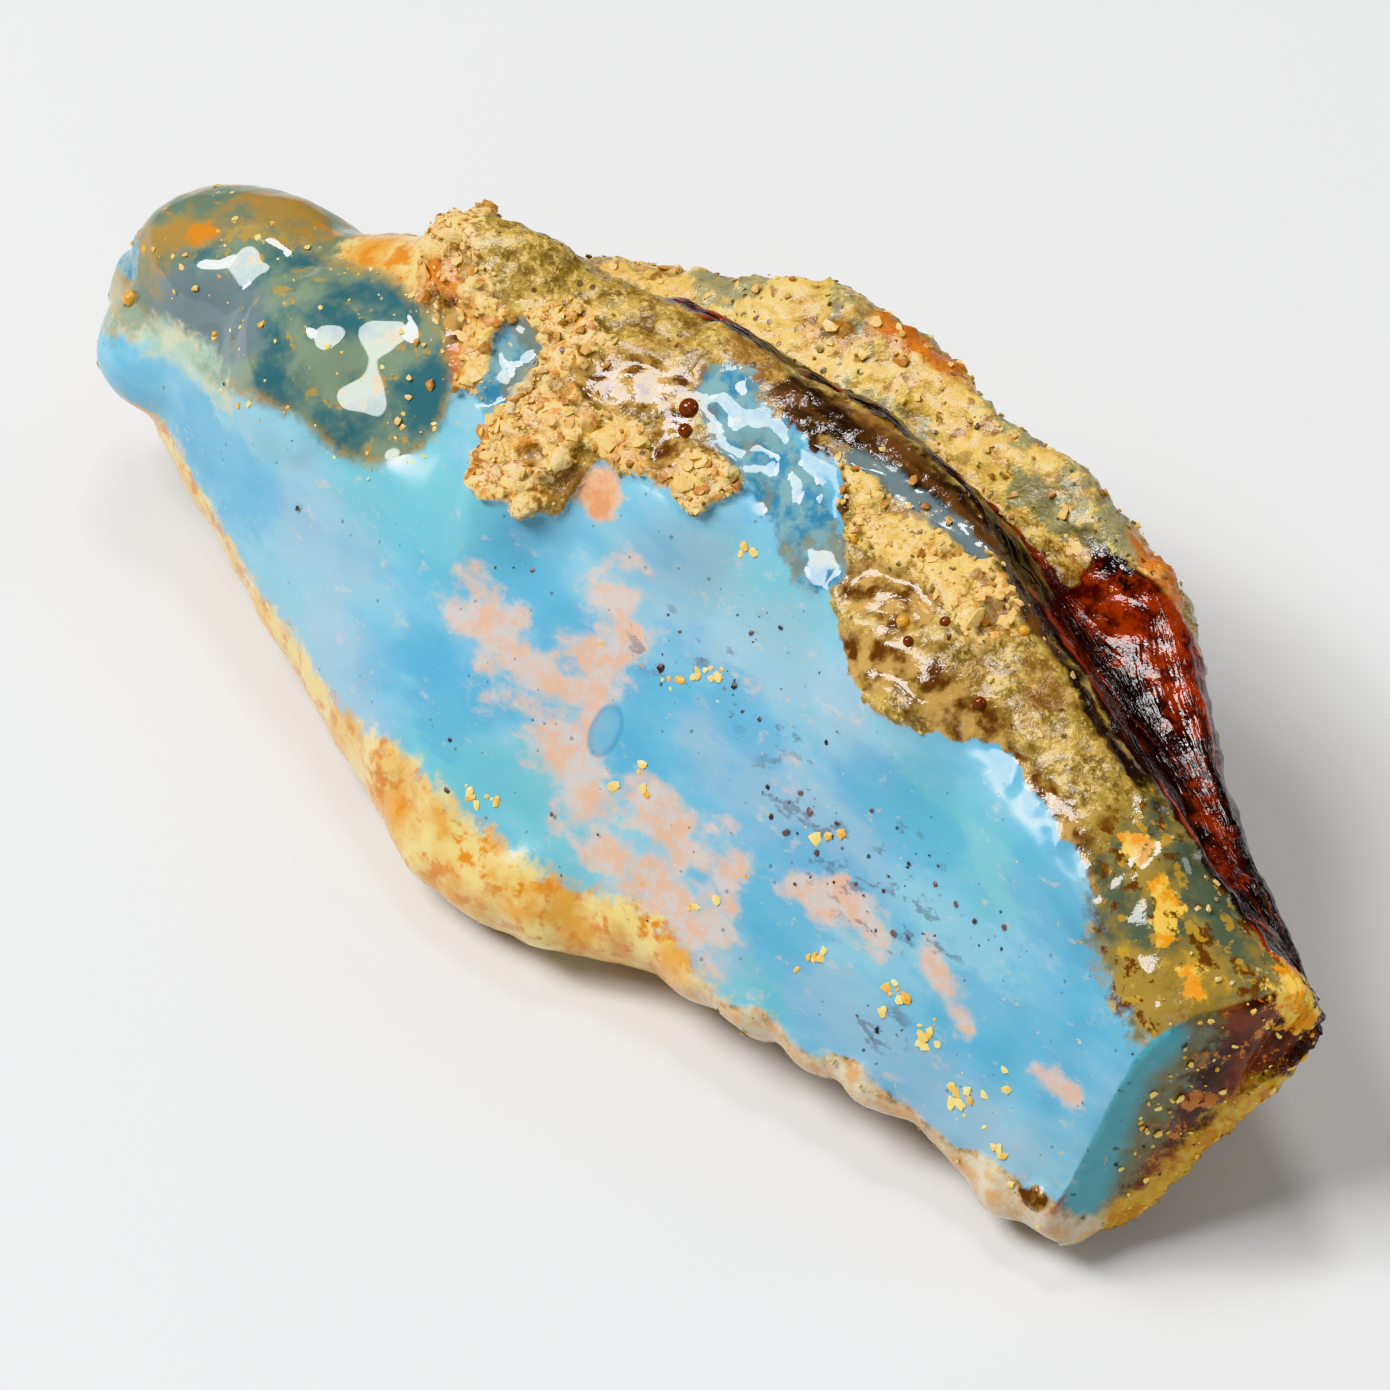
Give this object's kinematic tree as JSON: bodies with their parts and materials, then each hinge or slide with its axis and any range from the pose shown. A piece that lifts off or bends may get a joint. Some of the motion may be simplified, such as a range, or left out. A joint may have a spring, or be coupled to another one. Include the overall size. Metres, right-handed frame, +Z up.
{
  "type": "raw amber piece",
  "caption": "Raw piece of blue amber with one ground window that leans back below a rough rind, and a broken end. It lies on its underside.",
  "frame": {"origin": "under the middle of the stone, on the surface that it rests on", "axes": "+X along the stone towards its broken end, +Y towards the rear ledge, +Z up; the ground window faces -Y and leans back"},
  "size_m": [0.055, 0.0242, 0.0182],
  "materials": {
    "amber": "milky sky-blue amber, ground and glossy on the window, with a rough gold and brown rind"
  },
  "bodies": {
    "root": {"amber_piece": "amber"}
  },
  "joints": []
}
